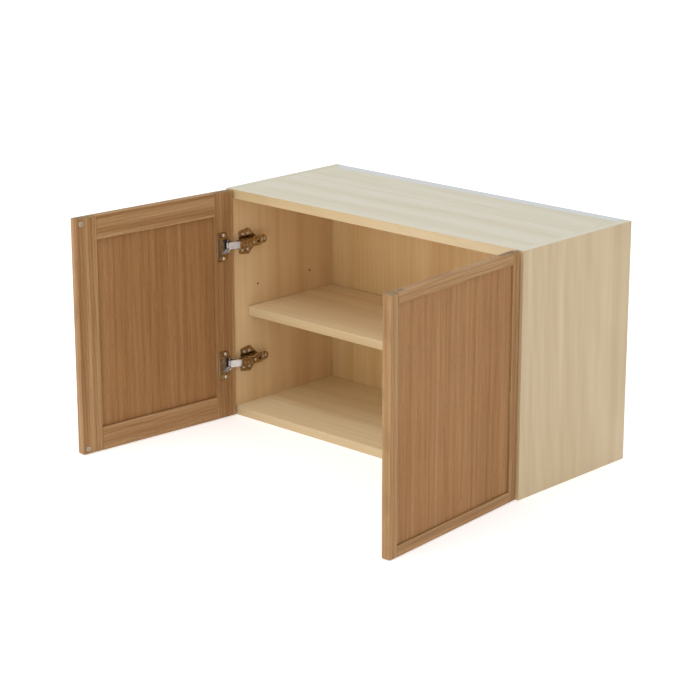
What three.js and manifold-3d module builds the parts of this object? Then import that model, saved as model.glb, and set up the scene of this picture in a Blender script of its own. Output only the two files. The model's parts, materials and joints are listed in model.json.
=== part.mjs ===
// A hanging wall cabinet with two framed doors, one adjustable shelf and four concealed hinges.
// Millimetres. +X right, +Z up, the doors face -Y. The origin is the middle of the rear face of
// the upper hanging batten, which is the face that lies on the wall.

import * as THREE from "three";
import { mergeVertices } from "three/addons/utils/BufferGeometryUtils.js";
import Module from "manifold-3d";

const wasm = await Module();
wasm.setup();

// ---------- Driving dimensions ----------

// Carcass
const WIDTH = 760;
const HEIGHT = 470;
const DEPTH = 320;
const BOARD = 18;
const BACK_THICKNESS = 9;
const BATTEN_THICKNESS = 25;
const BATTEN_HEIGHT = 80;

// Dowels that join the top and the bottom to the sides
const DOWEL_DIAMETER = 8;
const DOWEL_LENGTH = 30;
const DOWEL_IN_SIDE = 10;
const DOWEL_SETBACK = 50;
const DOWEL_CLEARANCE = 0.2;

// Shelf and its pins
const SHELF_SETBACK = 38;
const SHELF_TOP = 221;
const SHELF_END_GAP = 1;
const SHELF_REAR_GAP = 2;
const PIN_SHANK_DIAMETER = 5;
const PIN_SHANK_LENGTH = 8;
const PIN_HEAD_DIAMETER = 7;
const PIN_HEAD_LENGTH = 7;
const PIN_HOLE_PITCH = 64;
const PIN_COLUMN_SETBACK = 68;
const PIN_CLEARANCE = 0.15;
const SHELF_REST_GAP = 0.2;

// Doors
const DOOR_THICKNESS = 18;
const DOOR_REVEAL = 1.5;
const DOOR_MEETING_GAP = 3;
const DOOR_CLOSED_GAP = 2.5;
const FRAME_WIDTH = 46;
const FRAME_LIP = 20;
const FRAME_LEDGE = 12.4;
const PANEL_INNER_RECESS = 5.5;
const PANEL_OUTER_RECESS = 3.6;
const PANEL_PLAY = 0.5;
const GLUE_GAP = 0.2;
const BUMPER_DIAMETER = 11;
const BUMPER_TOP_DIAMETER = 8.8;
const BUMPER_THICKNESS = 2;
const BUMPER_INSET = 10.5;

// Hinges, one pair for each door
const HINGE_FROM_END = 112;
const CUP_DIAMETER = 35;
const CUP_FROM_EDGE = 4;
const CUP_DEPTH = 11.8;
const CUP_WALL = 1.6;
const CUP_FLOOR = 1;
const CUP_CLEARANCE = 0.25;
const FLANGE_THICKNESS = 1;
const FLANGE_HEIGHT = 60;
const FLANGE_REACH = 20.5;
const FLANGE_CORNER = 3;
const FLANGE_END_ANGLE = 120;
const CUP_PIN_FROM_EDGE = 10;
const CUP_PIN_DEPTH = 5;
const HINGE_PIN_DIAMETER = 3;
const HINGE_PIN_CLEARANCE = 0.2;
const LINK_THICKNESS = 2.4;
const LINK_CUP_HEIGHT = 10;
const LINK_ARM_HEIGHT = 14;
const LINK_BEND_FROM_PIN = 5.9;
const LINK_BEND_DEPTH = 4;
const KNUCKLE_WALL = 1;
const ARM_PIN_OFF_SIDE = 15;
const ARM_PIN_SETBACK = 4;
const ARM_SHEET = 1.5;
const ARM_NOSE_SETBACK = 0.6;
const ARM_CHANNEL_END = 58;
const ARM_TAIL_END = 83;
const ARM_TAIL_OFF_SIDE = 10.6;
const ARM_CHEEK_OFF_SIDE = 9;
const PLATE_THICKNESS = 2;
const PLATE_FRONT = 14;
const PLATE_REAR = 61;
const PLATE_HEIGHT = 54;
const PLATE_CHAMFER = 3;
const PLATE_SCREW_MARGIN = 4;
const PLATE_BLOCK_OFF_SIDE = 10.3;
const PLATE_SCREW_SETBACKS = [24.5, 39];
const PLATE_SCREW_PITCH = 32;
const PLATE_SCREW_DIAMETER = 4.4;
const SIDE_PLAY = 0.4;

// How far the doors stand open, and how far the hinge links have swung by then, in degrees
const DOOR_OPEN_ANGLE = 95;
const LINK_OPEN_ANGLE = 22;

// ---------- Derived dimensions ----------

const INNER_WIDTH = WIDTH - 2 * BOARD;
const INNER_HEIGHT = HEIGHT - 2 * BOARD;
const PANEL_DEPTH = DEPTH - BATTEN_THICKNESS;
const INNER_DEPTH = PANEL_DEPTH - BACK_THICKNESS;
const SHELF_UNDERSIDE = SHELF_TOP - BOARD;
const PIN_HEIGHT = SHELF_UNDERSIDE - PIN_HEAD_DIAMETER / 2 - SHELF_REST_GAP;
const DOOR_WIDTH = (WIDTH - DOOR_MEETING_GAP) / 2 - DOOR_REVEAL;
const DOOR_HEIGHT = HEIGHT - 2 * DOOR_REVEAL;
const CUP_CENTRE = CUP_FROM_EDGE + CUP_DIAMETER / 2;
const CUP_RADIUS = CUP_DIAMETER / 2 - CUP_CLEARANCE;
const CUP_HOLLOW_RADIUS = CUP_RADIUS - CUP_WALL;
const HINGE_HEIGHTS = { lower: HINGE_FROM_END, upper: HEIGHT - HINGE_FROM_END };
const PIN_BORE = HINGE_PIN_DIAMETER + 2 * HINGE_PIN_CLEARANCE;
const KNUCKLE_RADIUS = PIN_BORE / 2 + KNUCKLE_WALL;
const ARM_INNER_HEIGHT = LINK_ARM_HEIGHT + 2 * SIDE_PLAY;
const ARM_OUTER_HEIGHT = ARM_INNER_HEIGHT + 2 * ARM_SHEET;

// Points of the left door's linkage in plan with the door closed, from the front left corner of
// the carcass: x to the right, y to the rear.
const DOOR_CORNER = new THREE.Vector2(DOOR_REVEAL, -DOOR_CLOSED_GAP);
const ARM_PIVOT = new THREE.Vector2(BOARD + ARM_PIN_OFF_SIDE, ARM_PIN_SETBACK);
const CUP_PIVOT = DOOR_CORNER.clone().add(new THREE.Vector2(CUP_PIN_FROM_EDGE, -CUP_PIN_DEPTH));

// ---------- Finishes ----------

const finish = (color, roughness, metalness) => ({ color, roughness, metalness });
const MAPLE = finish(0xe3cda4, 0.5, 0);
const MAPLE_INSIDE = finish(0xdcc08f, 0.5, 0);
const BATTEN_WOOD = finish(0xd5d7d8, 0.6, 0);
const BEECH = finish(0xcfa878, 0.7, 0);
const DARK_OAK = finish(0x9a6a41, 0.55, 0);
const OAK_VENEER = finish(0x94633b, 0.55, 0);
const NICKEL = finish(0xc9c6bf, 0.25, 1);
const STEEL = finish(0xdadbdc, 0.2, 1);
const CLEAR_RUBBER = finish(0xe9e4dc, 0.3, 0);

// ---------- Geometry helpers ----------

const CIRCLE_STEPS = 32;
const PIN_STEPS = 16;
const CORNER_STEPS = 4;
// How far a cutting solid stands out of the face it opens.
const OVERSHOOT = 1;

// A box between two corners.
function box([x0, x1], [y0, y1], [z0, z1]) {
  const geometry = new THREE.BoxGeometry(x1 - x0, y1 - y0, z1 - z0);
  return geometry.translate((x0 + x1) / 2, (y0 + y1) / 2, (z0 + z1) / 2);
}

// A cylinder along X from x0 to x1.
function cylinderX(radius, [x0, x1], y, z, steps = PIN_STEPS) {
  const geometry = new THREE.CylinderGeometry(radius, radius, x1 - x0, steps);
  return geometry.rotateZ(Math.PI / 2).translate((x0 + x1) / 2, y, z);
}

// A cylinder along Y from y0 to y1.
function cylinderY(radius, x, [y0, y1], z, steps = CIRCLE_STEPS) {
  const geometry = new THREE.CylinderGeometry(radius, radius, y1 - y0, steps);
  return geometry.translate(x, (y0 + y1) / 2, z);
}

// A cylinder along Z, centred on a height.
function cylinderZ(radius, x, y, length, z = 0, steps = PIN_STEPS) {
  const geometry = new THREE.CylinderGeometry(radius, radius, length, steps);
  return geometry.rotateX(Math.PI / 2).translate(x, y, z);
}

// A plan outline raised by a height, centred on z = 0.
function prismZ(points, height) {
  const shape = new THREE.Shape(points);
  const settings = { depth: height, bevelEnabled: false };
  return new THREE.ExtrudeGeometry(shape, settings).translate(0, 0, -height / 2);
}

// A closed mesh as a solid for joining and cutting.
function solid(geometry) {
  const bare = geometry.clone();
  bare.deleteAttribute("normal");
  bare.deleteAttribute("uv");
  const merged = mergeVertices(bare, 1e-4);
  const mesh = new wasm.Mesh({
    numProp: 3,
    vertProperties: new Float32Array(merged.attributes.position.array),
    triVerts: new Uint32Array(merged.index.array),
  });
  return new wasm.Manifold(mesh);
}

// A solid back to a mesh geometry.
function surface(body) {
  const mesh = body.getMesh();
  const geometry = new THREE.BufferGeometry();
  geometry.setAttribute("position", new THREE.BufferAttribute(mesh.vertProperties, 3));
  geometry.setIndex(new THREE.BufferAttribute(mesh.triVerts, 1));
  geometry.computeVertexNormals();
  return geometry;
}

// The first geometry joined to the others.
function join(first, ...others) {
  return surface(others.reduce((body, other) => body.add(solid(other)), solid(first)));
}

// The first geometry with the others cut out of it.
function cut(first, ...others) {
  return surface(others.reduce((body, other) => body.subtract(solid(other)), solid(first)));
}

// A named mesh with its own material.
function piece(name, geometry, look) {
  const mesh = new THREE.Mesh(geometry, new THREE.MeshStandardMaterial(look));
  mesh.name = name;
  return mesh;
}

// ---------- Carcass ----------
// Built from the front bottom corner line: x from the middle, y from the front edge to the rear,
// z from the underside.

const DOWEL_SETBACKS = [DOWEL_SETBACK, PANEL_DEPTH - DOWEL_SETBACK];
const DOWEL_HEIGHTS = { bottom: BOARD / 2, top: HEIGHT - BOARD / 2 };
const PIN_SETBACKS = { front: PIN_COLUMN_SETBACK, rear: INNER_DEPTH - PIN_COLUMN_SETBACK };

// The left side panel with its blind holes for dowels and shelf pins.
function sidePanel() {
  const inner = -INNER_WIDTH / 2;
  const board = box([-WIDTH / 2, inner], [0, DEPTH], [0, HEIGHT]);
  const holes = [];
  const dowelHole = DOWEL_DIAMETER / 2 + DOWEL_CLEARANCE;
  const pinHole = PIN_SHANK_DIAMETER / 2 + PIN_CLEARANCE;
  for (const z of Object.values(DOWEL_HEIGHTS)) {
    for (const y of DOWEL_SETBACKS) {
      holes.push(cylinderX(dowelHole, [inner - DOWEL_IN_SIDE, inner + OVERSHOOT], y, z));
    }
  }
  for (const y of Object.values(PIN_SETBACKS)) {
    for (const step of [0, 1]) {
      const z = PIN_HEIGHT + step * PIN_HOLE_PITCH;
      holes.push(cylinderX(pinHole, [inner - PIN_SHANK_LENGTH, inner + OVERSHOOT], y, z));
    }
  }
  return cut(board, ...holes);
}

// The top or the bottom, which stand between the sides, with dowel holes in both ends.
function crossPanel(z0) {
  const half = INNER_WIDTH / 2;
  const depth = DOWEL_LENGTH - DOWEL_IN_SIDE;
  const radius = DOWEL_DIAMETER / 2 + DOWEL_CLEARANCE;
  const board = box([-half, half], [0, PANEL_DEPTH], [z0, z0 + BOARD]);
  const holes = [];
  for (const y of DOWEL_SETBACKS) {
    holes.push(cylinderX(radius, [-half - OVERSHOOT, depth - half], y, z0 + BOARD / 2));
    holes.push(cylinderX(radius, [half - depth, half + OVERSHOOT], y, z0 + BOARD / 2));
  }
  return cut(board, ...holes);
}

// A batten behind the back panel, between the sides.
function batten(z0) {
  const half = INNER_WIDTH / 2;
  return box([-half, half], [PANEL_DEPTH, DEPTH], [z0, z0 + BATTEN_HEIGHT]);
}

// A shelf pin on the left side, turned round the X axis: a shank in the side and a thicker head.
function shelfPin(y) {
  const inner = -INNER_WIDTH / 2;
  const profile = [
    new THREE.Vector2(0, -PIN_SHANK_LENGTH),
    new THREE.Vector2(PIN_SHANK_DIAMETER / 2, -PIN_SHANK_LENGTH),
    new THREE.Vector2(PIN_SHANK_DIAMETER / 2, 0),
    new THREE.Vector2(PIN_HEAD_DIAMETER / 2, 0),
    new THREE.Vector2(PIN_HEAD_DIAMETER / 2, PIN_HEAD_LENGTH),
    new THREE.Vector2(0, PIN_HEAD_LENGTH),
  ];
  const turned = new THREE.LatheGeometry(profile, PIN_STEPS);
  return turned.rotateZ(-Math.PI / 2).translate(inner, y, PIN_HEIGHT);
}

// A dowel on the left side, half in the side and half in the top or the bottom.
function dowel(y, z) {
  const start = -INNER_WIDTH / 2 - DOWEL_IN_SIDE;
  return cylinderX(DOWEL_DIAMETER / 2, [start, start + DOWEL_LENGTH], y, z);
}

function carcass() {
  const group = new THREE.Group();
  const half = INNER_WIDTH / 2;
  const back = box([-half, half], [INNER_DEPTH, PANEL_DEPTH], [BOARD, HEIGHT - BOARD]);
  group.add(piece("top_panel", crossPanel(HEIGHT - BOARD), MAPLE));
  group.add(piece("bottom_panel", crossPanel(0), MAPLE));
  group.add(piece("back_panel", back, MAPLE_INSIDE));
  group.add(piece("hanging_batten_upper", batten(HEIGHT - BATTEN_HEIGHT), BATTEN_WOOD));
  group.add(piece("hanging_batten_lower", batten(0), BATTEN_WOOD));
  return group;
}

// What belongs to one side of the carcass: the side panel, its dowels and its shelf pins.
function carcassSide(side) {
  const group = new THREE.Group();
  group.add(piece(`side_panel_${side}`, sidePanel(), MAPLE));
  for (const [level, z] of Object.entries(DOWEL_HEIGHTS)) {
    DOWEL_SETBACKS.forEach((y, i) => {
      const place = i === 0 ? "front" : "rear";
      group.add(piece(`dowel_${level}_${place}_${side}`, dowel(y, z), BEECH));
    });
  }
  for (const [place, y] of Object.entries(PIN_SETBACKS)) {
    group.add(piece(`shelf_pin_${place}_${side}`, shelfPin(y), STEEL));
  }
  return group;
}

function shelf() {
  const half = INNER_WIDTH / 2 - SHELF_END_GAP;
  const depth = [SHELF_SETBACK, INNER_DEPTH - SHELF_REAR_GAP];
  return piece("shelf", box([-half, half], depth, [SHELF_UNDERSIDE, SHELF_TOP]), MAPLE);
}

// ---------- Door ----------
// Built closed: u runs from the hinge edge to the free edge along +X, the depth d from the inner
// face to the outer face along -Y, and z from the door's lower edge.

// A box in door terms.
function doorBox([u0, u1], [d0, d1], z) {
  return box([u0, u1], [-d1, -d0], z);
}

// A stile: the full height, with a lip outside the panel and a ledge under it.
function stile(atHinge) {
  const span = (width) => (atHinge ? [0, width] : [DOOR_WIDTH - width, DOOR_WIDTH]);
  const height = [0, DOOR_HEIGHT];
  const ledge = doorBox(span(FRAME_WIDTH), [0, FRAME_LEDGE], height);
  const lip = doorBox(span(FRAME_LIP), [FRAME_LEDGE / 2, DOOR_THICKNESS], height);
  return join(ledge, lip);
}

// A rail between the stiles. Its lip is longer than its ledge, so it laps over the stiles' ledges.
function rail(atTop) {
  const span = (width) => (atTop ? [DOOR_HEIGHT - width, DOOR_HEIGHT] : [0, width]);
  const reach = (width) => [width + GLUE_GAP, DOOR_WIDTH - width - GLUE_GAP];
  const ledge = doorBox(reach(FRAME_WIDTH), [0, FRAME_LEDGE], span(FRAME_WIDTH));
  const core = doorBox(reach(FRAME_WIDTH), [FRAME_LEDGE / 2, DOOR_THICKNESS], span(FRAME_LIP));
  const lap = [FRAME_LEDGE + GLUE_GAP, DOOR_THICKNESS];
  return join(ledge, core, doorBox(reach(FRAME_LIP), lap, span(FRAME_LIP)));
}

// The panel: a thick middle inside the frame and a thin border that lies on the frame's ledge.
function doorPanel() {
  const middle = FRAME_WIDTH + PANEL_PLAY;
  const border = FRAME_LIP + PANEL_PLAY;
  const face = DOOR_THICKNESS - PANEL_OUTER_RECESS;
  const width = (edge) => [edge, DOOR_WIDTH - edge];
  const height = (edge) => [edge, DOOR_HEIGHT - edge];
  return join(
    doorBox(width(middle), [PANEL_INNER_RECESS, face], height(middle)),
    doorBox(width(border), [FRAME_LEDGE + GLUE_GAP, face], height(border)),
  );
}

// A low round bumper on the inner face, near a free corner.
function bumper(z) {
  const radius = BUMPER_DIAMETER / 2;
  const shoulder = BUMPER_THICKNESS / 2;
  const profile = [
    new THREE.Vector2(0, GLUE_GAP),
    new THREE.Vector2(radius, GLUE_GAP),
    new THREE.Vector2(radius, shoulder),
    new THREE.Vector2(BUMPER_TOP_DIAMETER / 2, BUMPER_THICKNESS),
    new THREE.Vector2(0, BUMPER_THICKNESS),
  ];
  return new THREE.LatheGeometry(profile, CIRCLE_STEPS).translate(DOOR_WIDTH - BUMPER_INSET, 0, z);
}

// Where a hinge's middle is on the door.
const hingeOnDoor = (level) => HINGE_HEIGHTS[level] - DOOR_REVEAL;

// The hinge cup with its flange, sunk in the stile.
function hingeCup(z) {
  const body = cylinderY(CUP_RADIUS, CUP_CENTRE, [-CUP_DEPTH, FLANGE_THICKNESS], z);
  const hollowDepth = [CUP_FLOOR - CUP_DEPTH, FLANGE_THICKNESS + OVERSHOOT];
  const hollow = cylinderY(CUP_HOLLOW_RADIUS, CUP_CENTRE, hollowDepth, z);
  const pinHoles = cylinderZ(PIN_BORE / 2, CUP_PIN_FROM_EDGE, -CUP_PIN_DEPTH, CUP_DIAMETER, z);
  return cut(join(body, cupFlange(z)), hollow, pinHoles);
}

// The flange: wide at its straight edge away from the hinge side, narrow where it meets the rim.
function cupFlange(z) {
  const half = FLANGE_HEIGHT / 2;
  const shoulder = half - FLANGE_CORNER;
  const straight = FLANGE_REACH - FLANGE_CORNER;
  const middleOfWall = CUP_RADIUS - CUP_WALL / 2;
  const angle = THREE.MathUtils.degToRad(FLANGE_END_ANGLE);
  const end = new THREE.Vector2(middleOfWall, 0).rotateAround(new THREE.Vector2(), angle);
  const outline = new THREE.Shape();
  outline.moveTo(FLANGE_REACH, shoulder);
  outline.quadraticCurveTo(FLANGE_REACH, half, straight, half);
  outline.lineTo(0, shoulder);
  outline.lineTo(end.x, end.y);
  outline.lineTo(end.x, -end.y);
  outline.lineTo(0, -shoulder);
  outline.lineTo(straight, -half);
  outline.quadraticCurveTo(FLANGE_REACH, -half, FLANGE_REACH, -shoulder);
  const depth = FLANGE_THICKNESS - GLUE_GAP;
  const settings = { depth, bevelEnabled: false, curveSegments: CORNER_STEPS };
  const plate = new THREE.ExtrudeGeometry(outline, settings);
  return plate.rotateX(Math.PI / 2).translate(CUP_CENTRE, FLANGE_THICKNESS, z);
}

// The cup pin, which the link turns on.
function cupPin(z) {
  const reach = CUP_CENTRE - CUP_PIN_FROM_EDGE;
  const length = 2 * Math.sqrt(CUP_HOLLOW_RADIUS ** 2 - reach ** 2) + CUP_WALL;
  const radius = HINGE_PIN_DIAMETER / 2;
  return cylinderZ(radius, CUP_PIN_FROM_EDGE, -CUP_PIN_DEPTH, length, z);
}

function doorPieces(side) {
  const group = new THREE.Group();
  const levels = Object.keys(HINGE_HEIGHTS);
  const boreDepth = [-CUP_DEPTH - GLUE_GAP, OVERSHOOT];
  const bores = levels.map((level) =>
    cylinderY(CUP_DIAMETER / 2, CUP_CENTRE, boreDepth, hingeOnDoor(level)),
  );
  group.add(piece(`door_stile_hinge_${side}`, cut(stile(true), ...bores), DARK_OAK));
  group.add(piece(`door_stile_free_${side}`, stile(false), DARK_OAK));
  group.add(piece(`door_rail_upper_${side}`, rail(true), DARK_OAK));
  group.add(piece(`door_rail_lower_${side}`, rail(false), DARK_OAK));
  group.add(piece(`door_panel_${side}`, doorPanel(), OAK_VENEER));
  const bumperHeights = { lower: BUMPER_INSET, upper: DOOR_HEIGHT - BUMPER_INSET };
  for (const [level, z] of Object.entries(bumperHeights)) {
    group.add(piece(`bumper_${level}_${side}`, bumper(z), CLEAR_RUBBER));
  }
  for (const level of levels) {
    const z = hingeOnDoor(level);
    group.add(piece(`hinge_cup_${level}_${side}`, hingeCup(z), NICKEL));
    group.add(piece(`cup_pin_${level}_${side}`, cupPin(z), STEEL));
  }
  return group;
}

// ---------- Hinge link ----------
// In plan with the door closed, from the arm pin: it runs forward out of the arm, bends in the
// cup and ends on the cup pin.

// A flat bar between two plan points.
function bar(from, to, height) {
  const along = to.clone().sub(from).normalize();
  const across = new THREE.Vector2(-along.y, along.x).multiplyScalar(LINK_THICKNESS / 2);
  const corners = [
    from.clone().add(across),
    from.clone().sub(across),
    to.clone().sub(across),
    to.clone().add(across),
  ];
  return prismZ(corners, height);
}

function hingeLink() {
  const armEnd = new THREE.Vector2(0, 0);
  const cupEnd = CUP_PIVOT.clone().sub(ARM_PIVOT);
  const bend = cupEnd.clone().add(new THREE.Vector2(LINK_BEND_FROM_PIN, -LINK_BEND_DEPTH));
  const knuckle = (at, height) => cylinderZ(KNUCKLE_RADIUS, at.x, at.y, height);
  const bore = (at) => cylinderZ(PIN_BORE / 2, at.x, at.y, LINK_ARM_HEIGHT + 2 * OVERSHOOT);
  const body = join(
    bar(armEnd, bend, LINK_ARM_HEIGHT),
    bar(bend, cupEnd, LINK_CUP_HEIGHT),
    cylinderZ(LINK_THICKNESS / 2, bend.x, bend.y, LINK_ARM_HEIGHT),
    knuckle(armEnd, LINK_ARM_HEIGHT),
    knuckle(cupEnd, LINK_CUP_HEIGHT),
  );
  return cut(body, bore(armEnd), bore(cupEnd));
}

// ---------- Hinge arm and mounting plate ----------
// x from the side panel's inner face, y from the carcass front, z from the hinge's middle.

// The arm: a folded channel over the plate, with a flat tail behind it.
function hingeArm() {
  const half = ARM_OUTER_HEIGHT / 2;
  const top = ARM_PIN_OFF_SIDE + KNUCKLE_RADIUS + SIDE_PLAY;
  const noseEnd = [ARM_NOSE_SETBACK, ARM_CHANNEL_END];
  const channel = box([ARM_CHEEK_OFF_SIDE, top + ARM_SHEET], noseEnd, [-half, half]);
  const innerHalf = ARM_INNER_HEIGHT / 2;
  const room = [ARM_NOSE_SETBACK - OVERSHOOT, ARM_CHANNEL_END - ARM_SHEET];
  const hollow = box([ARM_CHEEK_OFF_SIDE - OVERSHOOT, top], room, [-innerHalf, innerHalf]);
  const pinHole = cylinderZ(PIN_BORE / 2, ARM_PIN_OFF_SIDE, ARM_PIN_SETBACK, 2 * ARM_OUTER_HEIGHT);
  const tailSpan = [ARM_CHANNEL_END - ARM_SHEET, ARM_TAIL_END - half];
  const tailSheet = [ARM_TAIL_OFF_SIDE, ARM_TAIL_OFF_SIDE + ARM_SHEET];
  const tail = box(tailSheet, tailSpan, [-half, half]);
  const tailEnd = cylinderX(half, tailSheet, ARM_TAIL_END - half, 0);
  return join(cut(channel, hollow, pinHole), tail, tailEnd);
}

// The arm pin, riveted in the cheeks.
function armPin() {
  return cylinderZ(HINGE_PIN_DIAMETER / 2, ARM_PIN_OFF_SIDE, ARM_PIN_SETBACK, ARM_OUTER_HEIGHT);
}

// The mounting plate: two wings screwed to the side, and a raised block that carries the arm.
function mountingPlate() {
  const half = PLATE_HEIGHT / 2;
  const blockHalf = ARM_INNER_HEIGHT / 2 - SIDE_PLAY;
  const shoulder = half - PLATE_CHAMFER;
  const wingRear = PLATE_SCREW_SETBACKS[1] + PLATE_SCREW_MARGIN;
  const wingStraight = wingRear - PLATE_CHAMFER;
  const outline = new THREE.Shape([
    new THREE.Vector2(PLATE_FRONT, shoulder),
    new THREE.Vector2(PLATE_FRONT, -shoulder),
    new THREE.Vector2(wingStraight, -half),
    new THREE.Vector2(wingRear, -shoulder),
    new THREE.Vector2(PLATE_REAR, -blockHalf),
    new THREE.Vector2(PLATE_REAR, blockHalf),
    new THREE.Vector2(wingRear, shoulder),
    new THREE.Vector2(wingStraight, half),
  ]);
  const settings = { depth: PLATE_THICKNESS, bevelEnabled: false };
  // The outline's x is the setback and its y is the height: turn it into the YZ plane.
  const wings = new THREE.ExtrudeGeometry(outline, settings).rotateX(Math.PI / 2);
  wings.rotateZ(Math.PI / 2).translate(PLATE_THICKNESS, 0, 0);
  const blockSpan = [PLATE_FRONT, ARM_CHANNEL_END - ARM_SHEET - SIDE_PLAY];
  const blockSheet = [PLATE_THICKNESS / 2, PLATE_BLOCK_OFF_SIDE];
  const block = box(blockSheet, blockSpan, [-blockHalf, blockHalf]);
  const holes = [];
  const through = [-OVERSHOOT, PLATE_THICKNESS + OVERSHOOT];
  for (const y of PLATE_SCREW_SETBACKS) {
    for (const z of [-PLATE_SCREW_PITCH / 2, PLATE_SCREW_PITCH / 2]) {
      holes.push(cylinderX(PLATE_SCREW_DIAMETER / 2, through, y, z));
    }
  }
  return cut(join(wings, block), ...holes);
}

// The fixed pieces of the two hinges of one side.
function hingeFixedPieces(side) {
  const group = new THREE.Group();
  for (const [level, z] of Object.entries(HINGE_HEIGHTS)) {
    const hinge = new THREE.Group();
    hinge.position.set(-INNER_WIDTH / 2, 0, z);
    hinge.add(piece(`mounting_plate_${level}_${side}`, mountingPlate(), NICKEL));
    hinge.add(piece(`hinge_arm_${level}_${side}`, hingeArm(), NICKEL));
    hinge.add(piece(`arm_pin_${level}_${side}`, armPin(), STEEL));
    group.add(hinge);
  }
  return group;
}

// ---------- Door on its linkage ----------

// The two links of one side, swung about the arm pins.
function swungLinks(side) {
  const group = new THREE.Group();
  for (const [level, z] of Object.entries(HINGE_HEIGHTS)) {
    const link = piece(`hinge_link_${level}_${side}`, hingeLink(), STEEL);
    link.position.set(ARM_PIVOT.x - WIDTH / 2, ARM_PIVOT.y, z);
    link.rotation.z = THREE.MathUtils.degToRad(LINK_OPEN_ANGLE);
    group.add(link);
  }
  return group;
}

// The door, carried to where the swung links hold the cup pins and turned open about them.
function openDoor(side) {
  const swing = THREE.MathUtils.degToRad(LINK_OPEN_ANGLE);
  const pivot = CUP_PIVOT.clone().rotateAround(ARM_PIVOT, swing);
  const hung = new THREE.Group();
  hung.position.set(pivot.x - WIDTH / 2, pivot.y, DOOR_REVEAL);
  hung.rotation.z = THREE.MathUtils.degToRad(-DOOR_OPEN_ANGLE);
  const door = doorPieces(side);
  const cornerFromPin = DOOR_CORNER.clone().sub(CUP_PIVOT);
  door.position.set(cornerFromPin.x, cornerFromPin.y, 0);
  hung.add(door);
  return hung;
}

// ---------- The cabinet ----------

const cabinet = new THREE.Group();
const body = new THREE.Group();
// From the front underside to the middle of the upper batten's rear face.
body.position.set(0, -DEPTH, BATTEN_HEIGHT / 2 - HEIGHT);
body.add(carcass(), shelf());
for (const side of ["left", "right"]) {
  const half = new THREE.Group();
  half.add(carcassSide(side), hingeFixedPieces(side), swungLinks(side), openDoor(side));
  // The right half mirrors the left.
  if (side === "right") half.scale.x = -1;
  body.add(half);
}
cabinet.add(body);

export default cabinet;
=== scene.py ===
"""Dresses the hanging wall cabinet: maple-print boards, framed oak doors on nickel cup hinges and a
shelf on steel pins, with a pale floor, soft lights and a camera. Lengths are in metres."""

from __future__ import annotations

import json
import logging
import math
from dataclasses import dataclass, field, replace
from enum import Enum, IntEnum
from typing import Callable, Sequence

import bmesh
import bpy
from mathutils import Matrix, Vector


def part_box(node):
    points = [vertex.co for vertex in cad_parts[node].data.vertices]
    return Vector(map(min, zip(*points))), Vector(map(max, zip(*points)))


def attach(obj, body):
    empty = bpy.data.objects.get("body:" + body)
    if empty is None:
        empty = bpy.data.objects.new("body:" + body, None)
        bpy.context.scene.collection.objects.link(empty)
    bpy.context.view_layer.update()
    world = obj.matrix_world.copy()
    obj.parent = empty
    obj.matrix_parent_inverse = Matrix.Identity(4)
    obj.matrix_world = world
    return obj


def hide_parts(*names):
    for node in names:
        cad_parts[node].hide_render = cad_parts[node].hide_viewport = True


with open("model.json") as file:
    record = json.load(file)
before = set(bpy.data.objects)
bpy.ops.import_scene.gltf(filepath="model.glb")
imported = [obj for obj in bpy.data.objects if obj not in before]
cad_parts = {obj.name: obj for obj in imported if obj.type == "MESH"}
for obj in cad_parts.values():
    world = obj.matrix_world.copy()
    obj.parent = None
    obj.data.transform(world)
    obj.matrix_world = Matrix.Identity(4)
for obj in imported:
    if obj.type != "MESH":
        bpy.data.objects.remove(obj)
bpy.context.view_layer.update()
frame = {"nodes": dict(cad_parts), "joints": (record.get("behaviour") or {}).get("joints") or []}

LOG = logging.getLogger("cabinet")
MM = 0.001
SEAM = 0.0001 * MM
SLIVER = 0.005 * MM
WELD = 0.01 * MM
FLAT_DEGREES = 0.5
SHARP_DEGREES = 42
SHIFT_RATIOS = (1, 1.7, 2.3)
Colour = tuple[float, float, float]
Point = tuple[float, float]


class Axis(Enum):
    """A direction that a board's grain can run in."""

    X = 0
    Y = 1
    Z = 2


class Side(Enum):
    """The half of the cabinet that a piece belongs to."""

    LEFT = "left"
    RIGHT = "right"

    @property
    def sign(self) -> int:
        """1 on the left, where pieces are drawn, and -1 on the right, where they are mirrored."""
        return 1 if self is Side.LEFT else -1


class Level(Enum):
    """The height of a hinge, a rail, a bumper or a batten."""

    LOWER = "lower"
    UPPER = "upper"


class Slot(Enum):
    """Names for the part's material slots, which the script doesn't give to any piece."""

    BOARD = "maple_board"
    BACK = "maple_back"
    BATTEN = "batten"
    FRAME = "door_frame"
    PANEL = "door_panel"
    BUMPER = "bumper"
    NICKEL = "nickel"
    STEEL = "steel"


class BoardLook(IntEnum):
    """What a board's face shows, in the order of the board's materials."""

    OUTSIDE = 0
    INSIDE = 1
    RAW = 2
    # A side panel's top edge, given painted sheen of the light from above.
    TOP = 3


def paint(code: int) -> Colour:
    """Turns a screen colour, as 0xRRGGBB, into the linear one that shaders take."""
    shares = [(code >> shift & 255) / 255 for shift in (16, 8, 0)]
    return tuple(s / 12.92 if s <= 0.04045 else ((s + 0.055) / 1.055) ** 2.4 for s in shares)


# ---------- Finishes ----------


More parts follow.
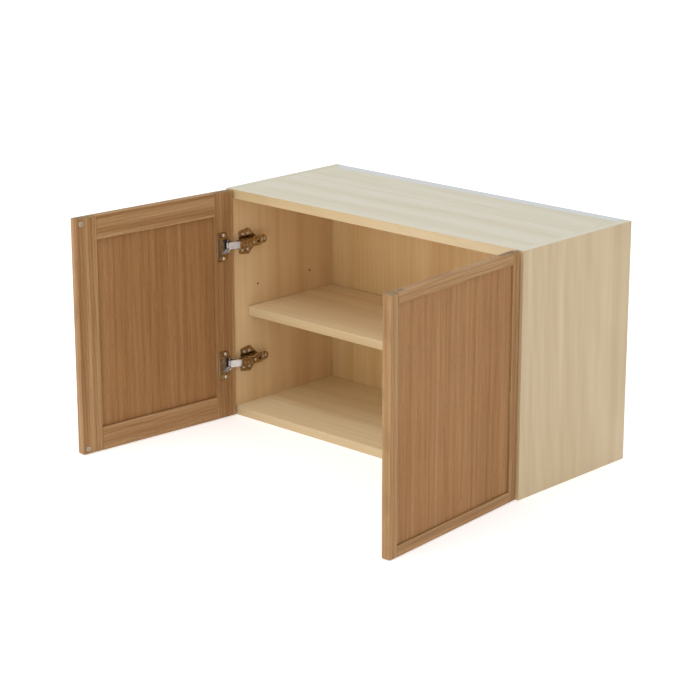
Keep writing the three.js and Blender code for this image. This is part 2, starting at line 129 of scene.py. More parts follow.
class Shader:
    """A node material that is put together step by step."""

    def __init__(self, name: str) -> None:
        """Starts a material with one surface shader.

        Args:
            name: The material's name.
        """
        self.material = bpy.data.materials.new(name)
        self.material.use_nodes = True
        self.tree = self.material.node_tree
        self.tree.nodes.clear()
        self.surface = self.node("ShaderNodeBsdfPrincipled")
        output = self.node("ShaderNodeOutputMaterial")
        self.join(self.surface.outputs["BSDF"], output.inputs["Surface"])
        self.place = self.node("ShaderNodeTexCoord").outputs["Object"]

    def node(self, kind: str, **settings: object) -> bpy.types.Node:
        """Adds a node.

        Args:
            kind: The node's type.
            settings: Values for the node's own properties.

        Returns:
            The new node.
        """
        made = self.tree.nodes.new(kind)
        for key, value in settings.items():
            setattr(made, key, value)
        return made

    def join(self, source: bpy.types.NodeSocket, target: bpy.types.NodeSocket) -> None:
        """Links an output to an input."""
        self.tree.links.new(source, target)

    def fix(self, name: str, value: object) -> None:
        """Sets a uniform value on the surface shader's own socket."""
        self.surface.inputs[name].default_value = value

    def drive(self, name: str, source: bpy.types.NodeSocket) -> None:
        """Links a varying value to a socket of the surface shader."""
        self.join(source, self.surface.inputs[name])

    def stretched(self, scale: Sequence[float], shift: float = 0.0) -> bpy.types.NodeSocket:
        """Gives the place on the piece, scaled differently along each axis.

        Args:
            scale: Repeats per metre along X, Y and Z.
            shift: How far the pattern is moved, so that pieces differ.

        Returns:
            The scaled place.
        """
        mapping = self.node("ShaderNodeMapping")
        mapping.inputs["Scale"].default_value = scale
        mapping.inputs["Location"].default_value = [shift * ratio for ratio in SHIFT_RATIOS]
        self.join(self.place, mapping.inputs["Vector"])
        return mapping.outputs["Vector"]

    def noise(
        self, place: bpy.types.NodeSocket, detail: float = 2.0, roughness: float = 0.55
    ) -> bpy.types.NodeSocket:
        """Gives soft noise at a place, once per unit.

        Args:
            place: Where on the pattern the noise is read.
            detail: How many finer layers are added.
            roughness: How strong the finer layers are.

        Returns:
            Noise around 0.5.
        """
        made = self.node("ShaderNodeTexNoise")
        made.inputs["Scale"].default_value = 1.0
        made.inputs["Detail"].default_value = detail
        made.inputs["Roughness"].default_value = roughness
        self.join(place, made.inputs["Vector"])
        return made.outputs["Fac"]

    def ramp(
        self, value: bpy.types.NodeSocket, stops: Sequence[tuple[float, Colour]]
    ) -> bpy.types.NodeSocket:
        """Turns a number into a colour.

        Args:
            value: The number.
            stops: Numbers in rising order, each with its colour.

        Returns:
            The colour.
        """
        made = self.node("ShaderNodeValToRGB")
        elements = made.color_ramp.elements
        while len(elements) < len(stops):
            elements.new(0.5)
        for element, (position, colour) in zip(elements, stops):
            element.position = position
            element.color = (*colour, 1)
        self.join(value, made.inputs["Fac"])
        return made.outputs["Color"]

    def span(
        self, value: bpy.types.NodeSocket, given: Point, wanted: Point
    ) -> bpy.types.NodeSocket:
        """Maps a number from one range to another, and holds it there.

        Args:
            value: The number.
            given: The range that is read.
            wanted: The range that is given back.

        Returns:
            The mapped number.
        """
        made = self.node("ShaderNodeMapRange", clamp=True)
        numbers = (*given, *wanted)
        for socket, number in zip(("From Min", "From Max", "To Min", "To Max"), numbers):
            made.inputs[socket].default_value = number
        self.join(value, made.inputs["Value"])
        return made.outputs["Result"]

    def reckon(
        self, operation: str, first: bpy.types.NodeSocket, second: bpy.types.NodeSocket
    ) -> bpy.types.NodeSocket:
        """Joins two numbers by a sum.

        Args:
            operation: The sum, such as ADD or MULTIPLY.
            first: The first number.
            second: The second number.

        Returns:
            The result.
        """
        made = self.node("ShaderNodeMath", operation=operation)
        self.join(first, made.inputs[0])
        self.join(second, made.inputs[1])
        return made.outputs["Value"]

    def blend(
        self,
        share: bpy.types.NodeSocket,
        under: bpy.types.NodeSocket,
        over: bpy.types.NodeSocket | Colour,
        way: str = "MIX",
    ) -> bpy.types.NodeSocket:
        """Lays one colour over another.

        Args:
            share: How much of the upper colour shows.
            under: The lower colour.
            over: The upper colour, linked or fixed.
            way: How they mix.

        Returns:
            The mixed colour.
        """
        # For colours, inputs 0, 6 and 7 are the share and the two colours, and output 2 the result.
        made = self.node("ShaderNodeMix", data_type="RGBA", blend_type=way)
        self.join(share, made.inputs[0])
        self.join(under, made.inputs[6])
        if isinstance(over, tuple):
            made.inputs[7].default_value = (*over, 1)
        else:
            self.join(over, made.inputs[7])
        return made.outputs[2]

    def relief(self, height: bpy.types.NodeSocket, strength: float, depth: float) -> None:
        """Raises and sinks the surface by a pattern.

        Args:
            height: The pattern.
            strength: How strongly it shows.
            depth: How deep it is.
        """
        bump = self.node("ShaderNodeBump")
        bump.inputs["Strength"].default_value = strength
        bump.inputs["Distance"].default_value = depth
        self.join(height, bump.inputs["Height"])
        self.drive("Normal", bump.outputs["Normal"])


@dataclass(frozen=True)
class Wood:
    """A wood, or a print of one, with growth lines, streaks and pores along its grain."""

    name: str
    pale: Colour
    middle: Colour
    deep: Colour
    line_spacing: float
    line_share: float
    streak_share: float
    pore_share: float
    pore_colour: Colour
    pore_gate: Point = (0.60, 0.72)
    pore_width: float = 0.55 * MM
    streak_width: float = 1.6 * MM
    gloss: Point = (0.38, 0.52)
    specular: float = 0.4
    depth: float = 0.05 * MM
    log_tilt: float = 0.035
    band_width: float = 0.06
    waviness: float = 3.2
    ring_detail: tuple[float, float, float] = (1.5, 0.35, 0.5)
    ring_gate: Point = (0.35, 0.95)
    band_stops: tuple[float, float, float] = (0.3, 0.5, 0.7)
    band_length: float = 0.9
    streak_gate: Point = (0.35, 0.7)
    streak_length: float = 0.12
    pore_length: float = 12 * MM
    wear_per_metre: float = 9
    wear_gate: Point = (0.3, 0.7)
    relief_strength: float = 0.35
    pith_off: float = 0.03
    pith_wander: float = 0.02

    def along(self, grain: Axis, across: float, length: float) -> tuple[float, float, float]:
        """Gives repeats per metre on each axis, for one repeat's size across and along the grain."""
        return tuple(1 / (length if axis is grain else across) for axis in Axis)

    def rings(self, shader: Shader, grain: Axis, seed: float) -> bpy.types.NodeSocket:
        """Draws growth lines as a board cuts them out of a slightly tilted log.

        Args:
            shader: The material.
            grain: The way the log lies.
            seed: What makes this log differ from others.

        Returns:
            A number that rises and falls once per growth line.
        """
        wave = shader.node("ShaderNodeTexWave", wave_type="RINGS", wave_profile="SIN")
        wave.rings_direction = grain.name
        lean = self.log_tilt * (1 if int(10 * seed) % 2 else -1)
        tilt = [0.0 if axis is grain else lean for axis in Axis]
        mapping = shader.node("ShaderNodeMapping")
        mapping.inputs["Rotation"].default_value = tilt
        sway = [math.sin(9 * seed + axis.value) for axis in Axis]
        pith = [self.pith_off + self.pith_wander * s for s in sway]
        pith[grain.value] = 0.0
        mapping.inputs["Location"].default_value = pith
        shader.join(shader.place, mapping.inputs["Vector"])
        shader.join(mapping.outputs["Vector"], wave.inputs["Vector"])
        # The wave texture's phase grows by 20 radians per unit.
        wave.inputs["Scale"].default_value = math.tau / 20 / self.line_spacing
        wave.inputs["Distortion"].default_value = self.waviness
        sockets = ("Detail", "Detail Scale", "Detail Roughness")
        for socket, number in zip(sockets, self.ring_detail):
            wave.inputs[socket].default_value = number
        return wave.outputs["Fac"]

    def material(self, grain: Axis, seed: float) -> bpy.types.Material:
        """Makes the finish for one piece.

        Args:
            grain: The way the piece's grain runs.
            seed: What makes this piece differ from others.

        Returns:
            The material.
        """
        shader = Shader(f"{self.name}_{grain.name}_{seed:g}")
        bands = shader.stretched(self.along(grain, self.band_width, self.band_length), seed)
        bands = shader.noise(bands, detail=2)
        tones = zip(self.band_stops, (self.deep, self.middle, self.pale))
        colour = shader.ramp(bands, list(tones))
        rings = self.rings(shader, grain, seed)
        share = shader.span(rings, self.ring_gate, (0, self.line_share))
        colour = shader.blend(share, colour, self.deep, "MULTIPLY")
        lengthwise = self.along(grain, self.streak_width, self.streak_length)
        streaks = shader.stretched(lengthwise, 2 * seed)
        fine = shader.noise(streaks, detail=4, roughness=0.65)
        share = shader.span(fine, self.streak_gate, (0, self.streak_share))
        colour = shader.blend(share, colour, self.deep, "MULTIPLY")
        lengthwise = self.along(grain, self.pore_width, self.pore_length)
        dashes = shader.stretched(lengthwise, 3 * seed)
        pores = shader.noise(dashes, detail=1)
        share = shader.span(pores, self.pore_gate, (0, self.pore_share))
        colour = shader.blend(share, colour, self.pore_colour)
        shader.drive("Base Color", colour)
        rubbed = shader.stretched((self.wear_per_metre,) * 3, 5 * seed)
        wear = shader.noise(rubbed, detail=5, roughness=0.6)
        shader.drive("Roughness", shader.span(wear, self.wear_gate, self.gloss))
        shader.fix("Specular IOR Level", self.specular)
        pattern = shader.reckon("SUBTRACT", fine, share)
        shader.relief(pattern, self.relief_strength, self.depth)
        return shader.material


@dataclass(frozen=True)
class EndGrain:
    """The sawn end of solid wood: dark, with short pores and growth arcs."""

    name: str
    pale: Colour
    deep: Colour
    arcs_per_metre: tuple[float, float, float] = (420, 90, 300)
    pores_per_metre: float = 1500
    pore_gate: Point = (0.35, 0.6)
    pore_shade: Point = (1, 0.75)
    tone_stops: Point = (0.25, 0.6)
    relief_strength: float = 0.4
    roughness: float = 0.62
    specular: float = 0.15
    depth: float = 0.08 * MM

    def material(self, seed: float) -> bpy.types.Material:
        """Makes the finish for one piece's ends.

        Args:
            seed: What makes this piece differ from others.

        Returns:
            The material.
        """
        shader = Shader(f"{self.name}_{seed:g}")
        arcs = shader.stretched(self.arcs_per_metre, seed)
        arcs = shader.noise(arcs, detail=3, roughness=0.6)
        dots = shader.noise(shader.stretched((self.pores_per_metre,) * 3, seed), detail=1)
        shade = shader.span(dots, self.pore_gate, self.pore_shade)
        mixed = shader.reckon("MULTIPLY", arcs, shade)
        tones = zip(self.tone_stops, (self.deep, self.pale))
        shader.drive("Base Color", shader.ramp(mixed, list(tones)))
        shader.fix("Roughness", self.roughness)
        shader.fix("Specular IOR Level", self.specular)
        shader.relief(dots, self.relief_strength, self.depth)
        return shader.material


@dataclass(frozen=True)
class Chipboard:
    """The raw edge of particle board: pressed chips of several browns, coarser in the middle."""

    name: str = "raw_chipboard"
    tones: tuple[Colour, ...] = (paint(0x7A5B3A), paint(0xB08C5E), paint(0xD2B586))
    tone_stops: tuple[float, ...] = (0.1, 0.4, 0.85)
    chips_per_metre: tuple[float, float, float] = (700, 500, 420)
    dust_per_metre: float = 1800
    dust_gate: Point = (0.3, 0.7)
    dust_shade: Point = (0.6, 1.3)
    relief_strength: float = 0.6
    roughness: float = 0.85
    depth: float = 0.2 * MM

    def material(self) -> bpy.types.Material:
        """Makes the finish.

        Returns:
            The material.
        """
        shader = Shader(self.name)
        cells = shader.node("ShaderNodeTexVoronoi", feature="F1")
        cells.inputs["Scale"].default_value = 1.0
        shader.join(shader.stretched(self.chips_per_metre), cells.inputs["Vector"])
        chips = shader.span(cells.outputs["Color"], (0, 1), (0, 1))
        dust = shader.noise(shader.stretched((self.dust_per_metre,) * 3), detail=3)
        shade = shader.span(dust, self.dust_gate, self.dust_shade)
        mixed = shader.reckon("MULTIPLY", chips, shade)
        tones = zip(self.tone_stops, self.tones)
        shader.drive("Base Color", shader.ramp(mixed, list(tones)))
        shader.fix("Roughness", self.roughness)
        shader.relief(mixed, self.relief_strength, self.depth)
        return shader.material


@dataclass(frozen=True)
class Plain:
    """A sheet finish with faint mottling: a melamine, a plastic or a paint."""

    name: str
    pale: Colour
    deep: Colour
    gloss: Point = (0.35, 0.5)
    mottle: float = 60.0
    cloud_gate: Point = (0.3, 0.7)
    grain: float = 1400.0
    relief_strength: float = 0.25
    depth: float = 0.03 * MM
    transmission: float = 0.0
    refraction: float = 1.45

    def material(self) -> bpy.types.Material:
        """Makes the finish.

        Returns:
            The material.
        """
        shader = Shader(self.name)
        cloud = shader.noise(shader.stretched((self.mottle,) * 3), detail=4, roughness=0.6)
        tones = zip(self.cloud_gate, (self.deep, self.pale))
        shader.drive("Base Color", shader.ramp(cloud, list(tones)))
        shader.drive("Roughness", shader.span(cloud, self.cloud_gate, self.gloss))
        grain = shader.noise(shader.stretched((self.grain,) * 3), detail=2)
        shader.relief(grain, self.relief_strength, self.depth)
        shader.fix("Transmission Weight", self.transmission)
        shader.fix("IOR", self.refraction)
        return shader.material


@dataclass(frozen=True)
class Metal:
    """A plated or bare metal with fine scratches along its pressing, and dull and bright blotches:
    smudging, which on the brown nickel is painted reflection of the wood.
    """

    name: str
    bright: Colour
    dull: Colour
    gloss: Point = (0.12, 0.3)
    scratch: float = 0.02 * MM
    metallic: float = 1.0
    smudge_and_reflection_stops: Point = (0.3, 0.65)
    smudges_and_reflections_per_metre: float = 160
    worn_gate: Point = (0.7, 1.3)
    relief_strength: float = 0.3
    scratches_per_metre: tuple[float, float, float] = (2600, 300, 2600)

    def material(self) -> bpy.types.Material:
        """Makes the finish.

        Returns:
            The material.
        """
        shader = Shader(self.name)
        smudge_and_reflection = shader.stretched((self.smudges_and_reflections_per_metre,) * 3)
        smudge_and_reflection = shader.noise(smudge_and_reflection, detail=4, roughness=0.6)
        lines = shader.noise(shader.stretched(self.scratches_per_metre), detail=3, roughness=0.6)
        low, high = self.smudge_and_reflection_stops
        # Dull and bright blotches: smudging, and on the nickel painted reflection.
        shader.drive("Base Color", shader.ramp(smudge_and_reflection, [(low, self.dull), (high, self.bright)]))
        worn = shader.reckon("ADD", smudge_and_reflection, lines)
        shader.drive("Roughness", shader.span(worn, self.worn_gate, self.gloss))
        shader.relief(lines, self.relief_strength, self.scratch)
        shader.fix("Metallic", self.metallic)
        return shader.material


MAPLE_OUTSIDE = Wood(
    "maple_outside", paint(0xC9B694), paint(0xC3AF8C), paint(0xBCA583),
    line_spacing=12 * MM, line_share=0.07, streak_share=0.12, pore_share=0.08,
    pore_colour=paint(0xAF9670), depth=0.02 * MM, band_width=0.035, waviness=2.0,
)
# A paler, greyer copy of the outside maple for upward outer faces: painted sheen of the light from
# above.
MAPLE_TOP_SHEEN = replace(
    MAPLE_OUTSIDE, name="maple_top", pale=paint(0xD3CEBD), middle=paint(0xCFC9B4),
    deep=paint(0xC8BFA6), pore_colour=paint(0xB9AD92), gloss=(0.3, 0.42),
)
# A lighter, more saturated copy of the same print for inner faces: painted shade tone of the inside
# of the box.
MAPLE_INSIDE_SHADE_TONE = replace(
    MAPLE_OUTSIDE, name="maple_inside", pale=paint(0xE6CBA1), middle=paint(0xE1C397),
    deep=paint(0xD7B587), pore_colour=paint(0xBE9B69), gloss=(0.3, 0.42), specular=0.6,
)
# A paler copy for the shelf and the bottom panel's inner faces: painted sheen of the light from
# above.
MAPLE_SHELF_SHEEN = replace(
    MAPLE_INSIDE_SHADE_TONE, name="maple_shelf", pale=paint(0xECDCB9), middle=paint(0xE7D4AE),
    deep=paint(0xDDC59D), pore_colour=paint(0xC4A67A), gloss=(0.34, 0.46),
)
# A more saturated copy for the back panel's front face: painted shade under the top panel.
MAPLE_BACK_SHADE_TONE = replace(
    MAPLE_INSIDE_SHADE_TONE, name="maple_back", pale=paint(0xE5C794), middle=paint(0xDFBE89),
    deep=paint(0xD5B07A), pore_colour=paint(0xBC965F),
)
EDGE_BAND = Wood(
    "maple_edge_band", paint(0xD4BE97), paint(0xCDB48B), paint(0xC3A97D),
    line_spacing=5 * MM, line_share=0.06, streak_share=0.14, pore_share=0.08,
    pore_colour=paint(0xA8875A), gloss=(0.3, 0.42), depth=0.02 * MM,
)
OAK = Wood(
    "stained_oak", paint(0xBB976C), paint(0xA98256), paint(0x9A7148),
    line_spacing=7 * MM, line_share=0.16, streak_share=0.34, pore_share=0.42,
    pore_colour=paint(0x74502F), pore_gate=(0.57, 0.70), pore_width=0.45 * MM,
    streak_width=2.6 * MM, gloss=(0.45, 0.6), specular=0.2, depth=0.07 * MM, band_width=0.014,
    waviness=5.0,
)
OAK_VENEER = Wood(
    "oak_veneer", paint(0xAF865B), paint(0xA77D52), paint(0x9D7348),
    line_spacing=14 * MM, line_share=0.08, streak_share=0.38, pore_share=0.45,
    pore_colour=paint(0x7D5732), pore_gate=(0.56, 0.66), pore_width=0.45 * MM,
    gloss=(0.5, 0.65), specular=0.1, depth=0.06 * MM, log_tilt=0.004, band_width=0.011,
)
BEECH = Wood(
    "turned_beech", paint(0xDDB98A), paint(0xD0A877), paint(0xBE9462),
    line_spacing=3 * MM, line_share=0.2, streak_share=0.2, pore_share=0.3,
    pore_colour=paint(0x9A7048), gloss=(0.55, 0.7),
)
OAK_END = EndGrain("oak_end", paint(0xA08562), paint(0x6A543B))
BATTEN_FACE = Plain("batten_face", paint(0xCBCECE), paint(0xC6C9CA), mottle=25.0)
RUBBER_CLEAR = Plain(
    "clear_rubber", paint(0xE2D2BA), paint(0xD0BB9D), gloss=(0.12, 0.22), transmission=0.5
)
BRIGHT_STEEL = Metal("bright_steel", (0.88, 0.88, 0.88), (0.70, 0.70, 0.71), gloss=(0.08, 0.22))


class Plating(Enum):
    """The metals of the hinges: plated sheet, the painted shade and highlight in its cup, links, pins
    and screws.
    """

    # Brown plating: its colour and its strong dark blotches are painted reflections of the wood round
    # it.
    NICKEL = Metal(
        "nickel_plate", (0.57, 0.46, 0.32), (0.25, 0.19, 0.12), gloss=(0.08, 0.22),
        smudge_and_reflection_stops=(0.36, 0.6),
    )
    # A darker, browner copy of the nickel for the cup's hollow: painted shade.
    HOLLOW = Metal("nickel_hollow", (0.42, 0.32, 0.21), (0.26, 0.20, 0.13), gloss=(0.3, 0.45))
    # Satin steel for the links; in the cup's hollow it is the painted highlight on the upward-facing
    # low wall.
    SATIN = Metal(
        "satin_steel", (0.80, 0.80, 0.81), (0.66, 0.66, 0.67), gloss=(0.26, 0.4), metallic=0.55
    )
    # Dark steel for the pins, darker partly as painted shade in their gaps; it also paints the shade
    # on the link's knuckle and a grey reflection tone on the cup's lip.
    PIN = Metal("pin_steel", (0.42, 0.41, 0.40), (0.30, 0.29, 0.28), gloss=(0.28, 0.4))
    ZINC = Metal("zinc_screw", (0.84, 0.84, 0.82), (0.6, 0.6, 0.6), gloss=(0.15, 0.32))


# ---------- Mesh work ----------


def slab(outline: Sequence[Point], low: float, high: float, axis: Axis) -> bmesh.types.BMesh:
    """Raises an outline into a solid.

    Args:
        outline: Points in order, in the two directions other than the axis.
        low: Where the solid starts along the axis.
        high: Where it ends.
        axis: The direction in which it is raised.

    Returns:
        The solid.
    """
    bm = bmesh.new()
    rings = []
    for level in (low, high):
        corners = [list(point) for point in outline]
        for corner in corners:
            corner.insert(axis.value, level)
        rings.append([bm.verts.new(corner) for corner in corners])
    bm.faces.new(rings[0])
    bm.faces.new(rings[1])
    count = len(outline)
    for i in range(count):
        j = (i + 1) % count
        bm.faces.new((rings[0][i], rings[0][j], rings[1][j], rings[1][i]))
    bmesh.ops.recalc_face_normals(bm, faces=bm.faces)
    return bm


def brick(low: Sequence[float], high: Sequence[float]) -> bmesh.types.BMesh:
    """Makes a straight block between two corners."""
    outline = [(low[0], low[1]), (high[0], low[1]), (high[0], high[1]), (low[0], high[1])]
    return slab(outline, low[2], high[2], Axis.Z)


def turned(profile: Sequence[Point], steps: int = 48) -> bmesh.types.BMesh:
    """Turns a profile round the Y axis.

    Args:
        profile: Points as distance from the axis and height along it. It starts and ends on the
            axis, or closes on itself.
        steps: How many flats make the round.

    Returns:
        The solid.
    """
    bm = bmesh.new()
    vertices = [bm.verts.new((r, y, 0)) for r, y in profile]
    edges = [bm.edges.new(pair) for pair in zip(vertices, vertices[1:])]
    if profile[0][0] > 0:
        edges.append(bm.edges.new((vertices[-1], vertices[0])))
    bmesh.ops.spin(
        bm, geom=vertices + edges, axis=(0, 1, 0), cent=(0, 0, 0), steps=steps, angle=math.tau
    )
    bmesh.ops.remove_doubles(bm, verts=bm.verts, dist=SEAM)
    bmesh.ops.recalc_face_normals(bm, faces=bm.faces)
    return bm


def arc(centre: Point, radius: float, start: float, end: float, steps: int = 6) -> list[Point]:
    """Gives the points of a round stretch in order, from one angle in degrees to another."""
    angles = [math.radians(start + (end - start) * i / steps) for i in range(steps + 1)]
    return [(centre[0] + radius * math.cos(a), centre[1] + radius * math.sin(a)) for a in angles]


def ease(bm: bmesh.types.BMesh, size: float, segments: int = 2, least: float = 40.0) -> None:
    """Rounds the sharp edges of a solid a little.

    Args:
        bm: The solid.
        size: How far back the rounding reaches.
        segments: How many flats make it.
        least: The angle in degrees from which an edge counts as sharp.
    """
    limit = math.radians(least)
    sharp = [e for e in bm.edges if len(e.link_faces) == 2 and e.calc_face_angle(0) > limit]
    bmesh.ops.bevel(
        bm, geom=sharp, offset=size, segments=segments, profile=0.5, affect="EDGES",
        clamp_overlap=True, loop_slide=True,
    )


def from_node(node: str, place: Matrix | None = None) -> bmesh.types.BMesh:
    """Takes up the shape of a frame node, with its flat faces made whole.

    Args:
        node: The node's name.
        place: Where the piece's own axes are, if not at the origin.

    Returns:
        The solid in the piece's own axes.
    """
    bm = bmesh.new()
    bm.from_mesh(frame["nodes"][node].data)
    if place is not None:
        bm.transform(place.inverted())
    bmesh.ops.remove_doubles(bm, verts=bm.verts, dist=WELD)
    flat = math.radians(FLAT_DEGREES)
    bmesh.ops.dissolve_limit(bm, angle_limit=flat, verts=bm.verts, edges=bm.edges)
    return bm


def merged(parts: Sequence[bmesh.types.BMesh]) -> bmesh.types.BMesh:
    """Puts several solids in one mesh.

    Args:
        parts: The solids, which are used up.

    Returns:
        All of them together.
    """
    whole = bmesh.new()
    for part in parts:
        carrier = bpy.data.meshes.new("carrier")
        part.to_mesh(carrier)
        part.free()
        whole.from_mesh(carrier)
        bpy.data.meshes.remove(carrier)
    return whole


def carved(body: bmesh.types.BMesh, cutters: Sequence[bmesh.types.BMesh]) -> bmesh.types.BMesh:
    """Cuts solids out of another.

    Args:
        body: What is cut.
        cutters: What is taken away.

    Returns:
        What is left.
    """
    things = []
    for bm in (body, merged(cutters)):
        mesh = bpy.data.meshes.new("carving")
        bm.to_mesh(mesh)
        bm.free()
        thing = bpy.data.objects.new("carving", mesh)
        bpy.context.scene.collection.objects.link(thing)
        things.append(thing)
    cut = things[0].modifiers.new("cut", "BOOLEAN")
    cut.object = things[1]
    cut.operation = "DIFFERENCE"
    cut.solver = "EXACT"
    bpy.context.view_layer.update()
    whole = things[0].evaluated_get(bpy.context.evaluated_depsgraph_get())
    result = bmesh.new()
    result.from_mesh(whole.to_mesh())
    whole.to_mesh_clear()
    for thing in things:
        mesh = thing.data
        bpy.data.objects.remove(thing)
        bpy.data.meshes.remove(mesh)
    return result


def mirrored(bm: bmesh.types.BMesh, side: Side) -> bmesh.types.BMesh:
    """Mirrors a solid that was drawn for the left, if it is for the right.

    Args:
        bm: The solid.
        side: The side that it is for.

    Returns:
        The same solid.
    """
    if side is Side.RIGHT:
        bm.transform(Matrix.Scale(-1, 4, (1, 0, 0)))
        bmesh.ops.reverse_faces(bm, faces=bm.faces)
    return bm


def stand(
    name: str,
    bm: bmesh.types.BMesh,
    body: str,
    looks: Sequence[bpy.types.Material],
    place: Matrix | None = None,
    replaced: Sequence[str] = (),
    choose: Callable[[Vector, Vector], int] | None = None,
) -> bpy.types.Object:
    """Makes a piece of a solid and hangs it on its body.

    Args:
        name: The piece's name.
        bm: The solid, in the piece's own axes.
        body: The body that the piece moves with.
        looks: The materials that the piece shows.
        place: Where the piece's own axes are, if not at the origin.
        replaced: The frame's nodes that the piece stands for.
        choose: Gives a face's material from its outward direction and its middle.

    Returns:
        The piece.
    """
    bmesh.ops.dissolve_degenerate(bm, dist=SLIVER, edges=bm.edges)
    if choose is not None:
        bm.normal_update()
        for face in bm.faces:
            face.material_index = choose(face.normal, face.calc_center_median())
    mesh = bpy.data.meshes.new(name)
    bm.to_mesh(mesh)
    bm.free()
    for look in looks:
        mesh.materials.append(look)
    mesh.shade_smooth()
    mesh.set_sharp_from_angle(angle=math.radians(SHARP_DEGREES))
    piece = bpy.data.objects.new(name, mesh)
    bpy.context.scene.collection.objects.link(piece)
    if place is not None:
        piece.matrix_world = place
    evened = piece.modifiers.new("even_shading", "WEIGHTED_NORMAL")
    evened.keep_sharp = True
    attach(piece, body)
    if replaced:
        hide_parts(*replaced)
    LOG.info("made %s on %s", name, body)
    return piece


# ---------- Carcass ----------


@dataclass
class Carcass:
    """The box that hangs on the wall: banded boards, a back and two battens."""

    band: float = 1.0 * MM
    glue: float = 0.05 * MM
    softness: float = 0.5 * MM
    band_softness: float = 0.35 * MM
    back_softness: float = 0.2 * MM
    facing: float = 0.9
    leaning: float = -0.2
    rear_facing: float = 0.5
    raw: bpy.types.Material = field(init=False)

    def __post_init__(self) -> None:
        """Makes the shared finish."""
        self.raw = Chipboard().material()

    def banded(
        self,
        node: str,
        body: str,
        grain: Axis,
        seed: float,
        outward: Vector,
        outside: Wood = MAPLE_OUTSIDE,
        inside: Wood = MAPLE_INSIDE_SHADE_TONE,
    ) -> None:
        """Builds a board with a strip glued on its front edge.

        Args:
            node: The frame node that the board stands for.
            body: The body that it moves with.
            grain: The way its printed grain runs.
            seed: What makes its print differ.
            outward: The direction in which its outer face looks. Zero if both faces are inside.
            outside: The finish of its outer face; the top panel's is the paler copy with painted
                sheen.
            inside: The finish of its inner face, or of both if both are inside: a copy toned with
                painted shade, or a paler one with painted sheen.
        """
        low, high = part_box(node)
        bm = from_node(node)
        for vertex in bm.verts:
            if vertex.co.y < low.y + self.band:
                vertex.co.y = low.y + self.band
        ease(bm, self.softness)

        def face_look(normal: Vector, _middle: Vector) -> int:
            """Picks a face's look: outer, inner, the raw rear edge, or a side's top edge, which gets
            painted sheen.

            Args:
                normal: Where the face looks.
                _middle: The face's middle.

            Returns:
                The look's place in the list below.
            """
            if normal.y > self.facing:
                return BoardLook.RAW
            # A side's top edge takes the paler copy with painted sheen.
            if normal.z > self.facing and outward.x:
                return BoardLook.TOP
            outer = outward.length > 0 and normal.dot(outward) > self.leaning
            return BoardLook.OUTSIDE if outer else BoardLook.INSIDE

        looks = [
            outside.material(grain, seed),
            inside.material(grain, seed),
            self.raw,
            # The paler copy with painted sheen, used on a side's top edge.
            MAPLE_TOP_SHEEN.material(Axis.Y, seed),
        ]
        stand(f"board_{node}", bm, body, looks, None, [node], face_look)
        strip = brick(low, (high.x, low.y + self.band - self.glue, high.z))
        ease(strip, self.band_softness)
        longest = Axis.Z if high.z - low.z > high.x - low.x else Axis.X
        look = EDGE_BAND.material(longest, seed + 0.5)
        stand(f"edge_band_{node}", strip, body, [look])

    def back(self) -> None:
        """Builds the back panel."""
        bm = from_node("back_panel")
        ease(bm, self.back_softness)
        # The front face takes the more saturated copy, painted shade under the top panel.
        looks = [MAPLE_BACK_SHADE_TONE.material(Axis.Z, seed=6.3), MAPLE_OUTSIDE.material(Axis.Z, seed=6.7)]
        stand(
            "board_back_panel", bm, "carcass", looks, None, ["back_panel"],
            lambda normal, _middle: 1 if normal.y > self.rear_facing else 0,
        )

    def battens(self) -> None:
        """Builds the two battens behind the back panel."""
        look = BATTEN_FACE.material()
        for level in Level:
            node = f"hanging_batten_{level.value}"
            bm = from_node(node)
            ease(bm, self.softness)
            stand(f"faced_{node}", bm, "carcass", [look], None, [node])

    def dowels(self) -> None:
        """Gives the hidden dowels their wood."""
        look = BEECH.material(Axis.X, seed=1.1)
        for name, node in frame["nodes"].items():
            if name.startswith("dowel_"):
                node.material_slots[0].material = look
                LOG.info("gave %s its wood", name)

    def build(self) -> None:
        """Builds the carcass."""
        left, right = Vector((-1, 0, 0)), Vector((1, 0, 0))
        down, up = Vector((0, 0, -1)), Vector((0, 0, 1))
        body = "carcass"
        # The top panel takes the paler copy with painted sheen, and the bottom panel's inner face the
        # shelf's copy, also with painted sheen.
        self.banded("top_panel", body, Axis.X, seed=1.3, outward=up, outside=MAPLE_TOP_SHEEN)
        self.banded("bottom_panel", body, Axis.X, seed=2.1, outward=down, inside=MAPLE_SHELF_SHEEN)
        self.banded("side_panel_left", body, Axis.Z, seed=3.7, outward=left)
        self.banded("side_panel_right", body, Axis.Z, seed=4.4, outward=right)
        self.back()
        self.battens()
        self.dowels()


